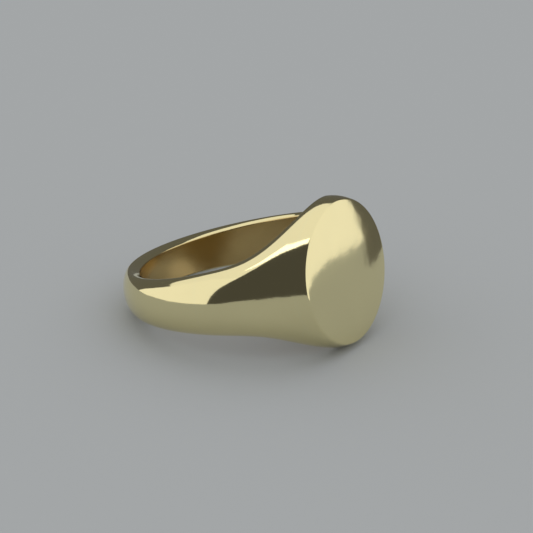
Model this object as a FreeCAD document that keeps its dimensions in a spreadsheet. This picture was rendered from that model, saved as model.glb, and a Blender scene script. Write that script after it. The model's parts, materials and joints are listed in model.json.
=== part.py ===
"""Signet ring with a plain round table, lying on its side as it rests on a bench.

Bench-built: a lower shank, two shoulders and a head block are soldered end to end,
and a round table plate is soldered on the head.  The outside is then filed to one
flowing skin, so every joint is flush.  Millimetres and degrees.

The ring is shaped with the finger hole's axis along Z and the table facing +X.
Every piece then gets the one placement that tips the ring over until its head and
the back of its shank both touch the bench.
"""
import FreeCAD, Part
import math
import os

DIMENSIONS = (
    ("bore_radius", 9.0, "finger hole, 18 mm across"),
    ("table_distance", 10.8, "middle of the finger hole to the table"),
    ("table_radius", 6.15, "round table, 12.3 mm across"),
    ("table_bevel", 0.06, "polished rim of the table"),
    ("plate_thickness", 1.0, "table plate"),
    ("solder_thickness", 0.1, "solder film in every joint"),
    ("back_half_width", 1.75, "half of the band's width at the back"),
    ("taper_half_width", 1.75, "what the long taper of the shank adds to it at the head"),
    ("flare_half_width", 3.05, "what the flare of the shoulders adds to it at the head"),
    ("edge_drop", 0.28, "how much the band narrows at the finger hole, each side"),
    ("back_thickness", 1.7, "crown of the band above the finger hole, at the back"),
    ("extra_thickness", 0.85, "what the crown gains towards the head"),
    ("back_facet", 1.15, "flat side of the band, at the back"),
    ("head_facet", 0.45, "side of the head between the hole and its widest line"),
    ("head_joint_angle", 33.0, "table's middle to the joint of head block and shoulder"),
    ("shank_joint_angle", 78.0, "table's middle to the joint of shoulder and lower shank"),
    ("tool_size", 40.0, "cutting tools, all larger than the ring"),
)

# Shape of the curves between those dimensions.
TAPER_POWER = 1.3
FLARE_POWER = 9
HEAD_FACET_POWER = 4
BACK_FACET_POWER = 1.8
SHOULDER_FULLNESS = 0.6
FULLNESS_ANGLE = 53.0
FULLNESS_SPAN = 25.0
CREASE_SHARPNESS = 0.3
CROWN_BLEND_SPAN = 35.0

# How finely the skin is drawn, and how far it runs past where it is cut.
BORE_OVERLAP = 1.3
OVERRUN = 8.0
ROWS = 49
CROWN_STEPS = 12
FACET_STEPS = 4
TILT_SEARCH = (0.0, 45.0)
TILT_STEPS = 40
LEVEL_TOLERANCE = 0.01

# Expressions that more than one object uses.
FILM = "dims.solder_thickness / dims.bore_radius * 180 / pi * 1 deg"
HEAD_JOINT = "dims.head_joint_angle * 1 deg"
SHANK_JOINT = "dims.shank_joint_angle * 1 deg"
PLATE_BACK = "dims.table_distance - dims.plate_thickness"
SOLDER_BACK = f"{PLATE_BACK} - dims.solder_thickness"


def build_sheet(doc):
    """Spreadsheet of the driving dimensions, one alias to a row."""
    sheet = doc.addObject("Spreadsheet::Sheet", "dims")
    for row, (alias, value, note) in enumerate(DIMENSIONS, start=1):
        sheet.set(f"A{row}", note)
        sheet.set(f"B{row}", str(value))
        sheet.setAlias(f"B{row}", alias)
    doc.recompute()
    return sheet


def smooth(x):
    """Eased step from 0 to 1."""
    x = min(1.0, max(0.0, x))
    return x * x * (3 - 2 * x)


class Skin:
    """The outside of the ring, section by section round the finger.

    An angle is measured round the finger hole from the middle of the table.
    """

    def __init__(self, sheet):
        self.sheet = sheet

    def __getattr__(self, alias):
        return float(self.sheet.get(alias))

    def headward(self, angle):
        """1 at the head, 0 at the back."""
        return (1 + math.cos(math.radians(angle))) / 2

    def half_width(self, angle):
        near = self.headward(angle)
        taper = self.taper_half_width * near ** TAPER_POWER
        flare = self.flare_half_width * near ** FLARE_POWER
        return self.back_half_width + taper + flare

    def facet(self, angle):
        """Radial height of the band's side, up to its widest line."""
        near = self.headward(angle)
        at_head = self.head_facet * near ** HEAD_FACET_POWER
        return at_head + self.back_facet * (1 - near) ** BACK_FACET_POWER

    def crown_radius(self, angle):
        """Radius of the crown, which the table cuts off between the shoulders.

        Near the table it is the height that carries the section through the table's
        rim, and further back it eases into the thickness of the band.
        """
        near = self.headward(angle)
        band = self.bore_radius + self.back_thickness + self.extra_thickness * near ** 2
        rim_angle = math.degrees(math.atan2(self.table_radius, self.table_distance))
        blend = smooth((angle - rim_angle) / CROWN_BLEND_SPAN)
        if blend == 1:
            return band
        across = self.table_distance * math.tan(math.radians(angle))
        rim = (self.table_radius ** 2 - across ** 2) / self.half_width(angle) ** 2
        base = self.bore_radius + self.facet(angle)
        rise = self.table_distance / math.cos(math.radians(angle)) - base
        return (1 - blend) * (base + rise / math.sqrt(1 - rim)) + blend * band

    def side(self, angle):
        """Points (radius, height) from inside the finger hole up to the widest line."""
        width = self.half_width(angle)
        facet = self.facet(angle)
        base = self.bore_radius + facet
        points = []
        for step in range(FACET_STEPS + 1):
            down = BORE_OVERLAP * (1 - step / FACET_STEPS)
            points.append((base - facet * down, width - self.edge_drop * down ** 2))
        return points

    def crown(self, angle):
        """Points (radius, height) from the upper widest line over to the lower one."""
        base = self.bore_radius + self.facet(angle)
        rise = self.crown_radius(angle) - base
        swell = smooth(1 - abs(angle - FULLNESS_ANGLE) / FULLNESS_SPAN)
        fullness = 2 + SHOULDER_FULLNESS * swell
        roundness = 2 - CREASE_SHARPNESS * (1 - self.headward(angle))
        upper = [(base, self.half_width(angle))]
        for step in range(1, CROWN_STEPS):
            turn = math.pi / 2 * (1 - step / CROWN_STEPS)
            out = math.cos(turn) ** (2 / roundness)
            up = math.sin(turn) ** (2 / fullness)
            upper.append((base + rise * out, self.half_width(angle) * up))
        lower = [(radius, -height) for radius, height in reversed(upper)]
        return upper + [(base + rise, 0.0)] + lower

    def rest_tilt(self):
        """Tilt that leaves the head and the back of the shank equally low."""
        head = self.side(0) + self.crown(0)
        back = self.side(180) + self.crown(180)
        low, high = TILT_SEARCH
        for _ in range(TILT_STEPS):
            tilt = (low + high) / 2
            sine = math.sin(math.radians(tilt))
            cosine = math.cos(math.radians(tilt))
            head_level = min(radius * sine - height * cosine for radius, height in head)
            back_level = min(-radius * sine - height * cosine for radius, height in back)
            if head_level < back_level:
                low = tilt
            else:
                high = tilt
        return (low + high) / 2


def place(points, angle):
    """Vectors of a section's (radius, height) points at an angle round the finger."""
    cosine = math.cos(math.radians(angle))
    sine = math.sin(math.radians(angle))
    return [FreeCAD.Vector(r * cosine, r * sine, z) for r, z in points]


def mirrored(point):
    """The same point below the ring's middle."""
    return FreeCAD.Vector(point.x, point.y, -point.z)


def fit_curve(points):
    """Spline through points at even steps of its parameter."""
    curve = Part.BSplineCurve()
    curve.interpolate(Points=points, Parameters=list(range(len(points))))
    return curve


def fit_face(rows):
    """Spline surface through a grid of points, whose edges depend on their own row only."""
    across = [fit_curve(row) for row in rows]
    pole_columns = zip(*[curve.getPoles() for curve in across])
    along = [fit_curve(list(column)) for column in pole_columns]
    poles = [list(row) for row in zip(*[curve.getPoles() for curve in along])]
    surface = Part.BSplineSurface()
    surface.buildFromPolesMultsKnots(
        poles,
        along[0].getMultiplicities(),
        across[0].getMultiplicities(),
        along[0].getKnots(),
        across[0].getKnots(),
        False,
        False,
        along[0].Degree,
        across[0].Degree,
    )
    return surface.toShape()


def build_half_blank(doc, skin):
    """Closed solid of the right half's skin, filled in to just inside the finger hole.

    It runs a little past the ring's middle plane at both ends, where it is cut off.
    """
    start = -OVERRUN
    sweep = 180 + 2 * OVERRUN
    angles = [start + sweep * step / ROWS for step in range(ROWS + 1)]
    crown_rows = [place(skin.crown(abs(angle)), angle) for angle in angles]
    side_rows = [place(skin.side(abs(angle)), angle) for angle in angles]
    under_rows = [[mirrored(point) for point in reversed(row)] for row in side_rows]
    inner_rows = [[under[-1], side[0]] for under, side in zip(under_rows, side_rows)]
    faces = [fit_face(rows) for rows in (side_rows, crown_rows, under_rows, inner_rows)]
    for row in (0, -1):
        sections = (side_rows[row], crown_rows[row], under_rows[row])
        edges = [fit_curve(points).toShape() for points in sections]
        edges.append(Part.makeLine(*inner_rows[row]))
        faces.append(Part.Face(Part.Wire(edges)))
    shell = Part.Shell(faces)
    shell.sewShape()
    blank = doc.addObject("Part::Feature", "half_blank")
    blank.Shape = Part.Solid(shell)
    return blank


def build_bore(doc):
    """Finger hole through the whole ring."""
    bore = doc.addObject("Part::Cylinder", "finger_hole")
    bore.setExpression("Radius", "dims.bore_radius")
    bore.setExpression("Height", "dims.tool_size")
    bore.setExpression(".Placement.Base.z", "-dims.tool_size / 2")
    return bore


def build_slab(doc, name, start, length):
    """Box across the ring, from one distance along X over a length, both expressions."""
    slab = doc.addObject("Part::Box", name)
    slab.setExpression("Length", length)
    slab.setExpression("Width", "dims.tool_size")
    slab.setExpression("Height", "dims.tool_size")
    slab.setExpression(".Placement.Base.x", start)
    slab.setExpression(".Placement.Base.y", "-dims.tool_size / 2")
    slab.setExpression(".Placement.Base.z", "-dims.tool_size / 2")
    return slab


def build_sector(doc, name, start, sweep):
    """Pie slice about the finger hole, from one angle over a sweep, both expressions."""
    sector = doc.addObject("Part::Cylinder", name)
    sector.setExpression("Radius", "dims.tool_size")
    sector.setExpression("Height", "dims.tool_size")
    sector.setExpression("Angle", sweep)
    sector.setExpression(".Placement.Base.z", "-dims.tool_size / 2")
    sector.Placement.Rotation = FreeCAD.Rotation(FreeCAD.Vector(0, 0, 1), 1)
    sector.setExpression(".Placement.Rotation.Angle", start)
    return sector


def combine(doc, kind, name, base, tool):
    """Part::Cut or Part::Common of two objects."""
    result = doc.addObject(kind, name)
    result.Base = base
    result.Tool = tool
    return result


def build_ring_form(doc, skin):
    """The filed ring, bored and faced, before it is divided into its pieces."""
    blank = build_half_blank(doc, skin)
    bored = combine(doc, "Part::Cut", "bored_half", blank, build_bore(doc))
    right_side = build_slab(
        doc, "right_side", "dims.table_distance - dims.tool_size", "dims.tool_size"
    )
    right_side.setExpression(".Placement.Base.y", "0 mm")
    right_half = combine(doc, "Part::Common", "right_half", bored, right_side)
    left_half = doc.addObject("Part::Mirroring", "left_half")
    left_half.Source = right_half
    left_half.Normal = FreeCAD.Vector(0, 1, 0)
    return combine(doc, "Part::Fuse", "ring_form", right_half, left_half)


def build_table_plate(doc, ring_form):
    """Round plate in front of the head, with a fine polished rim."""
    slab = build_slab(doc, "plate_slab", PLATE_BACK, "dims.tool_size")
    square_plate = combine(doc, "Part::Common", "square_plate", ring_form, slab)
    doc.recompute()
    plate = doc.addObject("Part::Chamfer", "table_plate")
    plate.Base = square_plate
    bevel = float(doc.dims.get("table_bevel"))
    plate.Edges = [(number, bevel, bevel) for number in table_rim_edges(doc, square_plate)]
    return plate


def table_rim_edges(doc, plate):
    """Numbers of the edges that lie wholly in the table's plane."""
    level = float(doc.dims.get("table_distance"))
    numbers = []
    for number, edge in enumerate(plate.Shape.Edges, start=1):
        ends = (edge.BoundBox.XMin, edge.BoundBox.XMax)
        if all(abs(end - level) < LEVEL_TOLERANCE for end in ends):
            numbers.append(number)
    return numbers


def build_table_solder(doc, ring_form):
    """Film of solder between the table plate and the head."""
    slab = build_slab(doc, "table_solder_slab", SOLDER_BACK, "dims.solder_thickness")
    return combine(doc, "Part::Common", "table_solder", ring_form, slab)


def build_hoop(doc, ring_form):
    """Everything behind the table's solder: head block, shoulders and shank in one."""
    slab = build_slab(doc, "hoop_slab", f"{SOLDER_BACK} - dims.tool_size", "dims.tool_size")
    return combine(doc, "Part::Common", "hoop", ring_form, slab)


def build_arc_piece(doc, hoop, name, start, sweep):
    """Piece of the hoop between two radial joint faces."""
    sector = build_sector(doc, f"{name}_sector", start, sweep)
    return combine(doc, "Part::Common", name, hoop, sector)


def build_side(doc, hoop, side, sign):
    """Shoulder of one side and the solder at both of its ends."""
    spans = (
        ("shoulder_solder", HEAD_JOINT, FILM),
        ("shoulder", f"{HEAD_JOINT} + {FILM}", f"{SHANK_JOINT} - {HEAD_JOINT} - {FILM}"),
        ("shank_solder", SHANK_JOINT, FILM),
    )
    pieces = []
    for name, start, sweep in spans:
        begin = start if sign > 0 else f"-({start}) - ({sweep})"
        pieces.append(build_arc_piece(doc, hoop, f"{side}_{name}", begin, sweep))
    return pieces


def build_pieces(doc, skin):
    """All the ring's pieces.  Left is -Y and right is +Y, as seen facing the table."""
    ring_form = build_ring_form(doc, skin)
    hoop = build_hoop(doc, ring_form)
    shank_start = f"{SHANK_JOINT} + {FILM}"
    pieces = [build_table_plate(doc, ring_form), build_table_solder(doc, ring_form)]
    pieces.append(build_arc_piece(doc, hoop, "head_block", f"-{HEAD_JOINT}", f"2 * {HEAD_JOINT}"))
    pieces += build_side(doc, hoop, "left", -1)
    pieces += build_side(doc, hoop, "right", 1)
    shank_sweep = f"360 deg - 2 * ({shank_start})"
    pieces.append(build_arc_piece(doc, hoop, "lower_shank", shank_start, shank_sweep))
    return pieces


def lay_down(pieces, tilt):
    """Tip every piece about the finger hole's centre, head up, until the ring rests."""
    rotation = FreeCAD.Rotation(FreeCAD.Vector(0, 1, 0), -tilt)
    for piece in pieces:
        piece.Placement = FreeCAD.Placement(FreeCAD.Vector(0, 0, 0), rotation)


def check(doc, pieces):
    """Stop if an object failed or a piece is not one sound solid."""
    for item in doc.Objects:
        if "Invalid" in item.State or "Error" in item.State:
            raise RuntimeError(f"{item.Name} failed: {item.State}")
    for piece in pieces:
        if piece.Shape.isNull() or not piece.Shape.isValid() or len(piece.Shape.Solids) != 1:
            raise RuntimeError(f"{piece.Label} is not one valid solid")


def main():
    """Build the ring and write one STEP file for each piece."""
    doc = FreeCAD.newDocument("signet_ring")
    skin = Skin(build_sheet(doc))
    pieces = build_pieces(doc, skin)
    doc.recompute()
    tilt = skin.rest_tilt()
    lay_down(pieces, tilt)
    doc.recompute()
    check(doc, pieces)
    os.makedirs("parts", exist_ok=True)
    for piece in pieces:
        piece.Label = piece.Name
        piece.Shape.exportStep(f"parts/{piece.Label}.step")
        print(f"{piece.Label}: {piece.Shape.Volume:.2f} mm3")
    print(f"rest tilt {tilt:.3f} degrees")


main()
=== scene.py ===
import json
import math

import bpy
from mathutils import Matrix, Quaternion, Vector


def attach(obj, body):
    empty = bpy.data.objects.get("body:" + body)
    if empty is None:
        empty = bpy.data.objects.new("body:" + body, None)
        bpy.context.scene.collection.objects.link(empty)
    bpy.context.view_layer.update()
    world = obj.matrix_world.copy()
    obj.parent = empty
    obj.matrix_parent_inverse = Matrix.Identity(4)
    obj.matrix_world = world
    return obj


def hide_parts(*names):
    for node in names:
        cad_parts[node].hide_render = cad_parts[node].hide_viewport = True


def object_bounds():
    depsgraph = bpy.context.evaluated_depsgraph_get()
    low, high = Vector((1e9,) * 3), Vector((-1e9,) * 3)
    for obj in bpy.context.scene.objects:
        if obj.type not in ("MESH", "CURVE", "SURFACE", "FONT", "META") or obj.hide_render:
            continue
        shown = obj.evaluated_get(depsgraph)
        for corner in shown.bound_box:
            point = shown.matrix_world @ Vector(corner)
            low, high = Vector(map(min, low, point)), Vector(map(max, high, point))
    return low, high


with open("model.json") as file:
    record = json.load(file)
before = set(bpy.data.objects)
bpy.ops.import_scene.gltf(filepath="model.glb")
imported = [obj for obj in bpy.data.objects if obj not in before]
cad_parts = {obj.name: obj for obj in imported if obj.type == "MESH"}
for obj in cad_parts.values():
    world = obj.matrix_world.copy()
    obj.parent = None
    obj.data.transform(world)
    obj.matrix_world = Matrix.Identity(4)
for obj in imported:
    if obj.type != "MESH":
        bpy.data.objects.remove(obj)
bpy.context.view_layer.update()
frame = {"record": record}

MM = 0.001

# ------------------------------------------------------------------ the ring's sizes
# In mm and degrees.
# The ring's own frame has the finger hole's axis along Z and the table facing +X.  Angles are
# measured round the finger hole from the middle of the table.
MOUNTS = {mount["name"]: mount for mount in frame["record"]["mounts"]}
BORE_RADIUS = MOUNTS["finger_hole"]["dims"]["r_mm"]
TABLE_DISTANCE = Vector(MOUNTS["table_face"]["pos_m"]).length / MM
TABLE_RADIUS = 6.15
PLATE_THICKNESS = 1.0
SOLDER_THICKNESS = 0.1
PLATE_BACK = TABLE_DISTANCE - PLATE_THICKNESS
SOLDER_BACK = PLATE_BACK - SOLDER_THICKNESS
FILM_ANGLE = math.degrees(SOLDER_THICKNESS / BORE_RADIUS)
HEAD_JOINT = 33.0
SHANK_JOINT = 78.0
BACK_HALF_WIDTH = 1.75
TAPER_HALF_WIDTH = 1.75
FLARE_HALF_WIDTH = 3.05
TAPER_POWER = 1.3
FLARE_POWER = 9
EDGE_DROP = 0.28
BACK_THICKNESS = 1.7
EXTRA_THICKNESS = 0.85
BACK_FACET = 1.15
HEAD_FACET_POWER = 4
BACK_FACET_POWER = 1.8
SHOULDER_FULLNESS = 0.6
FULLNESS_ANGLE = 53.0
FULLNESS_SPAN = 25.0
CREASE_SHARPNESS = 0.3
CROWN_BLEND_SPAN = 35.0

# What filing and polishing leave: a shallower side under the table, slimmer shoulders,
# rounded edges, and a table that is a little domed.
HEAD_FACET = 0.25
SHOULDER_FILED = 0.12
RIM_ROUND = 0.11
EDGE_ROUND = 0.07
TABLE_DOME = 0.10
TABLE_ROLL_OFF = 0.05
ROLL_OFF_POWER = 10

# Mesh steps, and the small steps and tolerance behind normals, crossings and joins.
SKIN_STEPS = 36
ROUND_STEPS = 4
BORE_STEPS = 8
RIM_STEPS = 192
TABLE_RINGS = 40
ROW_STEP = 1.0
TURNING_STEPS = 16
SLAB_STEPS = 2
PLATE_STEPS = 8
BISECTIONS = 40
ANGLE_NUDGE = 0.1
RUN_NUDGE = 0.01
SAME_POINT = 1e-4


def smooth(x):
    """Eased step from 0 at x = 0 to 1 at x = 1."""
    x = min(1.0, max(0.0, x))
    return x * x * (3 - 2 * x)


def headward(angle):
    """1 at the head, 0 at the back."""
    return (1 + math.cos(math.radians(angle))) / 2


def half_width(angle):
    """Half the ring's width at its widest line."""
    near = headward(angle)
    filed = SHOULDER_FILED * smooth(1 - abs(abs(angle) - FULLNESS_ANGLE) / FULLNESS_SPAN)
    taper = TAPER_HALF_WIDTH * near**TAPER_POWER
    flare = FLARE_HALF_WIDTH * near**FLARE_POWER
    return BACK_HALF_WIDTH + taper + flare - filed


def facet(angle):
    """Radial height of the band's side, up to its widest line."""
    near = headward(angle)
    head_share = near**HEAD_FACET_POWER
    back_share = (1 - near) ** BACK_FACET_POWER
    return HEAD_FACET * head_share + BACK_FACET * back_share


def crown_radius(angle):
    """Radius of the crown, which the table cuts off between the shoulders."""
    near = headward(angle)
    band = BORE_RADIUS + BACK_THICKNESS + EXTRA_THICKNESS * near**2
    rim_angle = math.degrees(math.atan2(TABLE_RADIUS, TABLE_DISTANCE))
    blend = smooth((angle - rim_angle) / CROWN_BLEND_SPAN)
    if blend == 1:
        return band
    across = TABLE_DISTANCE * math.tan(math.radians(angle))
    rim = (TABLE_RADIUS**2 - across**2) / half_width(angle) ** 2
    base = BORE_RADIUS + facet(angle)
    rise = TABLE_DISTANCE / math.cos(math.radians(angle)) - base
    return (1 - blend) * (base + rise / math.sqrt(1 - rim)) + blend * band


def skin_point(angle, run):
    """Point of the skin.  run is -1 at the hole's upper edge, 0 at the widest line above,
    1 at the crown, 2 at the widest line below and 3 at the hole's lower edge."""
    if run > 1:
        upper = skin_point(angle, 2 - run)
        return Vector((upper.x, upper.y, -upper.z))
    turn = abs(angle)
    base = BORE_RADIUS + facet(turn)
    width = half_width(turn)
    if run <= 0:
        radius = base + facet(turn) * run
        height = width - EDGE_DROP * run * run
    else:
        swell = smooth(1 - abs(turn - FULLNESS_ANGLE) / FULLNESS_SPAN)
        fullness = 2 + SHOULDER_FULLNESS * swell
        roundness = 2 - CREASE_SHARPNESS * (1 - headward(turn))
        swing = math.pi / 2 * run
        rise = crown_radius(turn) - base
        radius = base + rise * math.sin(swing) ** (2 / roundness)
        height = width * max(0.0, math.cos(swing)) ** (2 / fullness)
    cosine = math.cos(math.radians(angle))
    sine = math.sin(math.radians(angle))
    return Vector((radius * cosine, radius * sine, height))


def skin_normal(angle, run):
    """Outward normal of the skin."""
    along = skin_point(angle + ANGLE_NUDGE, run) - skin_point(angle - ANGLE_NUDGE, run)
    down = skin_point(angle, run + RUN_NUDGE) - skin_point(angle, run - RUN_NUDGE)
    return down.cross(along).normalized()


def bisect(inside, low, high):
    """Where inside(x) turns false between low and high."""
    for _ in range(BISECTIONS):
        middle = (low + high) / 2
        if inside(middle):
            low = middle
        else:
            high = middle
    return (low + high) / 2


def widest_angle(distance):
    """Angle at which the crown crosses a plane in front of the hole."""
    return bisect(
        lambda angle: crown_radius(angle) * math.cos(math.radians(angle)) > distance, 0, 60
    )


def run_at_plane(angle, distance):
    """Where the upper skin at an angle crosses a plane in front of the hole."""
    return bisect(lambda run: skin_point(angle, run).x < distance, -1, 1)


# ------------------------------------------------------------------ meshes
class Patches:
    """Grids of points with normals, joined into one closed mesh."""

    def __init__(self):
        self.points = []
        self.index = {}
        self.faces = []
        self.normals = []

    def vertex(self, point):
        key = tuple(round(value, 5) for value in point)
        if key not in self.index:
            self.index[key] = len(self.points)
            self.points.append(point)
        return self.index[key]

    def face(self, points, normals):
        corners = []
        for point, normal in zip(points, normals):
            number = self.vertex(point)
            if number not in [corner[0] for corner in corners]:
                corners.append((number, normal))
        if len(corners) < 3:
            return
        self.faces.append([corner[0] for corner in corners])
        self.normals += [corner[1] for corner in corners]

    def grid(self, rows):
        """Faces between rows of (point, normal), wound so that they face their normals."""
        for row, following in zip(rows, rows[1:]):
            for column in range(len(row) - 1):
                ring = [row[column], row[column + 1], following[column + 1], following[column]]
                points = [corner[0] for corner in ring]
                normals = [corner[1] for corner in ring]
                facing = (points[2] - points[0]).cross(points[3] - points[1])
                if facing.dot(sum(normals, Vector())) < 0:
                    points.reverse()
                    normals.reverse()
                self.face(points, normals)

    def flat(self, points, normal):
        """One flat face through all the points."""
        area = sum((a.cross(b) for a, b in zip(points, points[1:] + points[:1])), Vector())
        if area.dot(normal) < 0:
            points = points[::-1]
        self.face(points, [normal] * len(points))

    def build(self, name, place):
        mesh = bpy.data.meshes.new(name)
        mesh.from_pydata([place @ (point * MM) for point in self.points], [], self.faces)
        mesh.polygons.foreach_set("use_smooth", [True] * len(mesh.polygons))
        turn = place.to_3x3()
        mesh.normals_split_custom_set([turn @ normal for normal in self.normals])
        piece = bpy.data.objects.new(name, mesh)
        bpy.context.collection.objects.link(piece)
        return piece


def rounded(start, corner, end, start_normal, end_normal):
    """(point, normal) pairs round an edge, from one face to the other."""
    pairs = []
    for step in range(ROUND_STEPS + 1):
        t = step / ROUND_STEPS
        point = start * (1 - t) ** 2 + corner * 2 * t * (1 - t) + end * t**2
        pairs.append((point, start_normal.lerp(end_normal, t).normalized()))
    return pairs


def flipped(pairs):
    """The same pairs on the underside."""
    under = Vector((1, 1, -1))
    return [(point * under, normal * under) for point, normal in pairs]


def hoop_row(angle):
    """Upper half of the hoop's section: its hole, rounded edge and skin, as three lists."""
    cosine = math.cos(math.radians(angle))
    sine = math.sin(math.radians(angle))
    inward = Vector((-cosine, -sine, 0))
    start = -1 + EDGE_ROUND / facet(abs(angle))
    last = 1.0
    if abs(angle) < widest_angle(SOLDER_BACK):
        last = run_at_plane(angle, SOLDER_BACK)
    corner = skin_point(angle, -1)
    foot = corner - Vector((0, 0, EDGE_ROUND))
    edge = rounded(foot, corner, skin_point(angle, start), inward, skin_normal(angle, start))
    runs = [start + (last - start) * step / SKIN_STEPS for step in range(SKIN_STEPS + 1)]
    skin = [(skin_point(angle, run), skin_normal(angle, run)) for run in runs]
    hole = []
    for step in range(BORE_STEPS + 1):
        level = foot.z * (2 * step / BORE_STEPS - 1)
        hole.append((Vector((foot.x, foot.y, level)), inward))
    return hole, edge, skin


def row_angles(start, stop):
    """Angles of a piece's sections, closer together where the table's solder runs out."""
    turning = widest_angle(SOLDER_BACK)
    angles = {start, stop}
    count = math.ceil((stop - start) / ROW_STEP)
    angles |= {start + (stop - start) * step / count for step in range(count + 1)}
    for side in (-1, 1):
        for step in range(TURNING_STEPS):
            swing = math.sin(math.pi / 2 * (1 - step / (2 * TURNING_STEPS)))
            angle = side * math.degrees(math.atan(math.tan(math.radians(turning)) * swing))
            if start < angle < stop:
                angles.add(angle)
    return sorted(angles)


def arc_piece(name, start, stop, place):
    """Piece of the hoop between two radial joint faces."""
    patches = Patches()
    angles = row_angles(start, stop)
    rows = [hoop_row(angle) for angle in angles]
    patches.grid([hole for hole, _, _ in rows])
    for part in (1, 2):
        patches.grid([row[part] for row in rows])
        patches.grid([flipped(row[part]) for row in rows])
    forward = Vector((1, 0, 0))
    fronts = []
    for _, _, skin in rows:
        end = skin[-1][0]
        fronts.append([(end, forward), (end * Vector((1, 1, -1)), forward)])
    patches.grid(fronts)
    for angle, row, sign in ((angles[0], rows[0], -1), (angles[-1], rows[-1], 1)):
        hole, edge, skin = row
        upper = [point for point, _ in edge[:-1] + skin]
        lower = [point * Vector((1, 1, -1)) for point in reversed(upper)]
        if (upper[-1] - lower[0]).length < SAME_POINT:
            lower = lower[1:]
        bore = [point for point, _ in hole[1:-1]]
        turned = math.radians(angle)
        outward = Vector((-math.sin(turned), math.cos(turned), 0)) * sign
        patches.flat(upper + lower + bore, outward)
    return patches.build(name, place)


def plane_ring(distance):
    """(point, normal) pairs round the outline that a plane cuts from the skin."""
    reach = distance * math.tan(math.radians(widest_angle(distance)))
    pairs = []
    for step in range(RIM_STEPS + 1):
        swing = 2 * math.pi * step / RIM_STEPS
        angle = math.degrees(math.atan2(reach * math.cos(swing), distance))
        if step in (0, RIM_STEPS // 2, RIM_STEPS):
            run = 1.0
        else:
            run = run_at_plane(angle, distance)
        pair = (skin_point(angle, run), skin_normal(angle, run))
        pair[0].x = distance
        pairs.append(pair if math.sin(swing) > 0 else flipped([pair])[0])
    return pairs


def slab_piece(name, back, front, place):
    """Slice of the head between two planes, with flat faces."""
    patches = Patches()
    depth = front - back
    rings = [plane_ring(back + depth * step / SLAB_STEPS) for step in range(SLAB_STEPS + 1)]
    patches.grid(rings)
    for ring, sign in ((rings[0], -1), (rings[-1], 1)):
        patches.flat([point for point, _ in ring[:-1]], Vector((sign, 0, 0)))
    return patches.build(name, place)


def table_pair(rim, share):
    """Point and normal of the domed table, at a share of the way from its middle out."""
    sink = TABLE_DOME * share**2 + TABLE_ROLL_OFF * share**ROLL_OFF_POWER
    slope = 2 * TABLE_DOME * share + ROLL_OFF_POWER * TABLE_ROLL_OFF * share ** (ROLL_OFF_POWER - 1)
    slope /= TABLE_RADIUS
    out = Vector((0, rim.y, rim.z)).normalized()
    point = Vector((TABLE_DISTANCE - sink, rim.y * share, rim.z * share))
    return point, (Vector((1, 0, 0)) + out * slope).normalized()


def table_plate(name, place):
    """The table plate, with a polished rim and a slightly domed table."""
    patches = Patches()
    rim_level = TABLE_DISTANCE - TABLE_DOME - TABLE_ROLL_OFF
    depth = rim_level - RIM_ROUND - PLATE_BACK
    side = []
    for step in range(PLATE_STEPS + 1):
        side.append(plane_ring(PLATE_BACK + depth * step / PLATE_STEPS))
    patches.grid(side)
    sharp = plane_ring(rim_level)
    inner_share = 1 - RIM_ROUND / TABLE_RADIUS
    inner = [table_pair(point, inner_share) for point, _ in sharp]
    bevel = []
    for (start, start_normal), (corner, _), (end, end_normal) in zip(side[-1], sharp, inner):
        bevel.append(rounded(start, corner, end, start_normal, end_normal))
    patches.grid(bevel)
    rings = []
    for step in range(TABLE_RINGS + 1):
        share = inner_share * (1 - step / TABLE_RINGS)
        rings.append([table_pair(point, share) for point, _ in sharp])
    patches.grid(rings)
    patches.flat([point for point, _ in side[0][:-1]], Vector((-1, 0, 0)))
    return patches.build(name, place)


# ------------------------------------------------------------------ materials
# Noise scales are per metre, and heights in metres.  TINT_DEPTH and GLOSS_RANGE are shares
# of the colour and the roughness that they vary.
WROUGHT_GOLD = (0.88, 0.79, 0.45)
FUSED_SOLDER = (0.87, 0.79, 0.46)
# Painted shade and painted reflection: the darker amber gold painted on the finger hole's wall.
BORE_PAINTED_SHADE_GOLD = (0.62, 0.46, 0.20)
WROUGHT_ROUGHNESS = 0.07
FUSED_ROUGHNESS = 0.08
BORE_ROUGHNESS = 0.22
GLOSS_RANGE = (0.7, 1.4)
TINT_DEPTH = 0.94
RIPPLE_SCALE = 260.0
RIPPLE_HEIGHT = 0.0004
RIPPLE_STRENGTH = 0.08
HAIR_SCALE = 6000.0
HAIR_STRETCH = (0.08, 1.0, 1.0)
HAIR_HEIGHT = 0.00002
HAIR_STRENGTH = 0.06


def node(tree, kind, **inputs):
    made = tree.nodes.new(kind)
    for key, value in inputs.items():
        made.inputs[key.replace("_", " ")].default_value = value
    return made


def bore_mask(tree, place):
    """Output that is 1 on the wall of the finger hole and 0 outside it."""
    reach = node(tree, "ShaderNodeVectorMath")
    reach.operation = "SUBTRACT"
    reach.inputs[1].default_value = MOUNTS["finger_hole"]["pos_m"]
    across = node(tree, "ShaderNodeVectorMath")
    across.operation = "CROSS_PRODUCT"
    across.inputs[1].default_value = Vector(MOUNTS["finger_hole"]["axis"]).normalized()
    radius = node(tree, "ShaderNodeVectorMath")
    radius.operation = "LENGTH"
    mask = node(tree, "ShaderNodeMapRange")
    mask.inputs["From Min"].default_value = BORE_RADIUS * MM
    mask.inputs["From Max"].default_value = (BORE_RADIUS + EDGE_ROUND) * MM
    mask.inputs["To Min"].default_value = 1.0
    mask.inputs["To Max"].default_value = 0.0
    tree.links.new(place, reach.inputs[0])
    tree.links.new(reach.outputs[0], across.inputs[0])
    tree.links.new(across.outputs[0], radius.inputs[0])
    tree.links.new(radius.outputs["Value"], mask.inputs["Value"])
    return mask.outputs["Result"]


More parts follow.
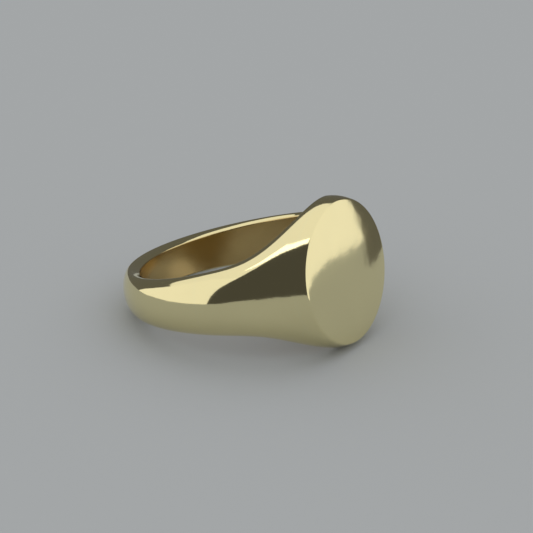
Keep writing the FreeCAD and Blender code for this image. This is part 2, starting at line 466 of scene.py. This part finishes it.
def gold(name, colour, roughness):
    """Polished yellow gold with fine hairlines, a soft hand-polished ripple and uneven
    gloss.  The wall of the finger hole is satin and painted darker amber: painted shade and painted
    reflection."""
    material = bpy.data.materials.new(name)
    material.use_nodes = True
    tree = material.node_tree
    shader = tree.nodes["Principled BSDF"]
    shader.inputs["Metallic"].default_value = 1.0
    place = node(tree, "ShaderNodeTexCoord")
    ripple = node(tree, "ShaderNodeTexNoise", Scale=RIPPLE_SCALE, Detail=2.0)
    hairs = node(tree, "ShaderNodeTexNoise", Scale=HAIR_SCALE, Detail=3.0)
    tree.links.new(place.outputs["Object"], ripple.inputs["Vector"])
    stretch = node(tree, "ShaderNodeMapping")
    stretch.inputs["Scale"].default_value = HAIR_STRETCH
    tree.links.new(place.outputs["Object"], stretch.inputs["Vector"])
    tree.links.new(stretch.outputs["Vector"], hairs.inputs["Vector"])
    gloss = node(tree, "ShaderNodeMapRange")
    gloss.inputs["To Min"].default_value = roughness * GLOSS_RANGE[0]
    gloss.inputs["To Max"].default_value = roughness * GLOSS_RANGE[1]
    tree.links.new(hairs.outputs["Fac"], gloss.inputs["Value"])
    mask = bore_mask(tree, place.outputs["Object"])
    satin = node(tree, "ShaderNodeMix")
    satin.inputs["B"].default_value = BORE_ROUGHNESS
    tree.links.new(mask, satin.inputs["Factor"])
    tree.links.new(gloss.outputs["Result"], satin.inputs["A"])
    tree.links.new(satin.outputs["Result"], shader.inputs["Roughness"])
    tint = node(tree, "ShaderNodeMix")
    tint.data_type = "RGBA"
    tint.inputs["A"].default_value = (*colour, 1)
    tint.inputs["B"].default_value = (*[value * TINT_DEPTH for value in colour], 1)
    tree.links.new(ripple.outputs["Fac"], tint.inputs["Factor"])
    # Painted shade and painted reflection: the finger hole's wall gets the darker amber colour.
    painted_bore_shade = node(tree, "ShaderNodeMix")
    painted_bore_shade.data_type = "RGBA"
    painted_bore_shade.inputs["B"].default_value = (*BORE_PAINTED_SHADE_GOLD, 1)
    tree.links.new(mask, painted_bore_shade.inputs["Factor"])
    tree.links.new(tint.outputs["Result"], painted_bore_shade.inputs["A"])
    tree.links.new(painted_bore_shade.outputs["Result"], shader.inputs["Base Color"])
    low = node(tree, "ShaderNodeBump", Strength=RIPPLE_STRENGTH, Distance=RIPPLE_HEIGHT)
    tree.links.new(ripple.outputs["Fac"], low.inputs["Height"])
    fine = node(tree, "ShaderNodeBump", Strength=HAIR_STRENGTH, Distance=HAIR_HEIGHT)
    tree.links.new(hairs.outputs["Fac"], fine.inputs["Height"])
    tree.links.new(low.outputs["Normal"], fine.inputs["Normal"])
    tree.links.new(fine.outputs["Normal"], shader.inputs["Normal"])
    return material


# ------------------------------------------------------------------ the ring
def ring_placement():
    """Turns the ring's own frame into the row's: the ring as it lies."""
    axis = Vector(MOUNTS["finger_hole"]["axis"]).normalized()
    facing = Vector(MOUNTS["table_face"]["axis"]).normalized()
    turn = Matrix((facing, axis.cross(facing), axis)).transposed()
    return Matrix.Translation(MOUNTS["finger_hole"]["pos_m"]) @ turn.to_4x4()


def build_ring():
    place = ring_placement()
    head_film = HEAD_JOINT + FILM_ANGLE
    shank_film = SHANK_JOINT + FILM_ANGLE
    pieces = {
        "table_plate": table_plate("polished_table_plate", place),
        "table_solder": slab_piece("polished_table_solder", SOLDER_BACK, PLATE_BACK, place),
    }
    arcs = {
        "head_block": (-HEAD_JOINT, HEAD_JOINT),
        "right_shoulder_solder": (HEAD_JOINT, head_film),
        "right_shoulder": (head_film, SHANK_JOINT),
        "right_shank_solder": (SHANK_JOINT, shank_film),
        "left_shoulder_solder": (-head_film, -HEAD_JOINT),
        "left_shoulder": (-SHANK_JOINT, -head_film),
        "left_shank_solder": (-shank_film, -SHANK_JOINT),
        "lower_shank": (shank_film, 360 - shank_film),
    }
    for name, (start, stop) in arcs.items():
        pieces[name] = arc_piece("polished_" + name, start, stop, place)
    wrought = gold("wrought_gold", WROUGHT_GOLD, WROUGHT_ROUGHNESS)
    fused = gold("fused_solder", FUSED_SOLDER, FUSED_ROUGHNESS)
    for name, piece in pieces.items():
        is_solder = name.endswith("solder")
        piece.data.materials.append(fused if is_solder else wrought)
        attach(piece, "root")
        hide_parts(name)


# ------------------------------------------------------------------ floor, light, camera
FLOOR_COLOUR = (0.40, 0.42, 0.435)
FLOOR_ROUGHNESS = 0.9
# How far the floor reaches from the ring each way, in metres.
FLOOR_REACH = 1.5


def build_floor():
    """Plain matt floor, level with the ring's lowest point."""
    material = bpy.data.materials.new("floor_grey")
    material.use_nodes = True
    shader = material.node_tree.nodes["Principled BSDF"]
    shader.inputs["Base Color"].default_value = (*FLOOR_COLOUR, 1)
    shader.inputs["Roughness"].default_value = FLOOR_ROUGHNESS
    shader.inputs["Specular IOR Level"].default_value = 0.0
    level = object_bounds()[0].z
    mesh = bpy.data.meshes.new("floor")
    corners = []
    for x, y in ((-1, -1), (1, -1), (1, 1), (-1, 1)):
        corners.append((x * FLOOR_REACH, y * FLOOR_REACH, level))
    mesh.from_pydata(corners, [], [(0, 1, 2, 3)])
    mesh.materials.append(material)
    floor = bpy.data.objects.new("floor", mesh)
    bpy.context.collection.objects.link(floor)


# The light tent stands round the ring.  Its radius is in metres.  Angles are in degrees,
# turns round from the camera's side, positive to the right, and elevations above the level
# of the finger hole's middle.
TENT_RADIUS = 0.08
STUDIO_WHITE = (1.0, 0.99, 0.97)
STUDIO_STRENGTH = 0.92
CAMERA_AZIMUTH = 32.18
PANEL_STEP = 4


def glowing_cloth(name, strength):
    """Evenly glowing neutral cloth."""
    material = bpy.data.materials.new(name)
    material.use_nodes = True
    tree = material.node_tree
    tree.nodes.clear()
    glow = tree.nodes.new("ShaderNodeEmission")
    glow.inputs["Color"].default_value = (*STUDIO_WHITE, 1)
    glow.inputs["Strength"].default_value = strength
    output = tree.nodes.new("ShaderNodeOutputMaterial")
    tree.links.new(glow.outputs["Emission"], output.inputs["Surface"])
    return material


def tent_point(turn, elevation, radius):
    """Point of the tent's wall, which stands straight up to 45 degrees, then curves over."""
    azimuth = math.radians(CAMERA_AZIMUTH + turn)
    lift = math.radians(elevation)
    reach = radius * min(1.0, math.cos(lift) * math.sqrt(2))
    height = reach * math.tan(lift)
    return Vector((math.sin(azimuth) * reach, -math.cos(azimuth) * reach, height))


def tent_panel(name, low, high, material, near=1.0, drop=0.0):
    """Curved panel of the tent.  low and high give the turns of its two ends and the
    elevation, at its lower and its upper edge.  The first end stands at a share near of
    the tent's radius, and the second end's top is lower by drop degrees."""
    steps = max(1, round(abs(low[1] - low[0]) / PANEL_STEP))
    rises = max(1, round(abs(high[2] - low[2]) / PANEL_STEP))
    points = []
    for rise in range(rises + 1):
        start, stop, elevation = (a + (b - a) * rise / rises for a, b in zip(low, high))
        for step in range(steps + 1):
            share = step / steps
            radius = TENT_RADIUS * (near + (1 - near) * share)
            level = elevation - drop * share * rise / rises
            points.append(tent_point(start + (stop - start) * share, level, radius))
    faces = []
    for rise in range(rises):
        for step in range(steps):
            first = rise * (steps + 1) + step
            above = first + steps + 1
            faces.append((first, first + 1, above + 1, above))
    mesh = bpy.data.meshes.new(name)
    mesh.from_pydata(points, [], faces)
    mesh.materials.append(material)
    panel = bpy.data.objects.new(name, mesh)
    bpy.context.collection.objects.link(panel)
    panel.visible_camera = False
    panel.visible_diffuse = False
    panel.visible_shadow = False


def build_tent():
    """Neutral cloth: white walls, a grey back, a dark panel for the opening on the camera's
    side, and a brighter strip overhead."""
    white = glowing_cloth("white_cloth", 0.97)
    lamp = glowing_cloth("lamp_cloth", 2.0)
    grey = glowing_cloth("grey_cloth", 0.12)
    dark = glowing_cloth("dark_opening", 0.07)
    tent_panel("left_wall", (-115, -36, -6), (-90, -42, 52), white)
    tent_panel("right_wall", (30, 112, -6), (30, 112, 30), white)
    tent_panel("back_wall", (106, 200, -8), (113, 200, 46), grey, near=0.62)
    tent_panel("back_left_wall", (200, 245, -6), (200, 262, 46), grey, drop=18)
    tent_panel("opening", (-36, 30, -6), (-44, 30, 60), dark)
    tent_panel("lamp", (-75, 0, 61), (-60, 0, 68), lamp)


def build_light():
    """Soft even light from all round, with the tent for the gold to reflect."""
    world = bpy.data.worlds.new("studio")
    world.use_nodes = True
    background = world.node_tree.nodes["Background"]
    background.inputs["Color"].default_value = (*STUDIO_WHITE, 1)
    background.inputs["Strength"].default_value = STUDIO_STRENGTH
    bpy.context.scene.world = world
    build_tent()


# The camera aims a little beside the middle of the finger hole.  Lengths are in metres,
# but for the lens, which is in mm.
CAMERA_ELEVATION = 22.87
CAMERA_ROLL = 1.72
CAMERA_DISTANCE = 0.19316
CAMERA_LENS = 148.6
AIM_RIGHT = 0.00198
AIM_UP = 0.00037


def build_camera():
    azimuth = math.radians(CAMERA_AZIMUTH)
    elevation = math.radians(CAMERA_ELEVATION)
    level = math.cos(elevation)
    back = Vector((math.sin(azimuth) * level, -math.cos(azimuth) * level, math.sin(elevation)))
    data = bpy.data.cameras.new("camera")
    data.lens = CAMERA_LENS
    data.sensor_width = 36
    data.clip_start = 0.01
    data.clip_end = 10
    camera = bpy.data.objects.new("camera", data)
    turn = back.to_track_quat("Z", "Y") @ Quaternion((0, 0, 1), math.radians(CAMERA_ROLL))
    right = turn @ Vector((1, 0, 0))
    up = turn @ Vector((0, 1, 0))
    camera.location = back * CAMERA_DISTANCE
    shift = right * AIM_RIGHT + up * AIM_UP
    look = (shift - camera.location).normalized()
    camera.rotation_mode = "QUATERNION"
    camera.rotation_quaternion = (-back).rotation_difference(look) @ turn
    bpy.context.collection.objects.link(camera)
    bpy.context.scene.camera = camera


build_ring()
build_floor()
build_light()
build_camera()
bpy.context.scene.view_settings.view_transform = "Standard"
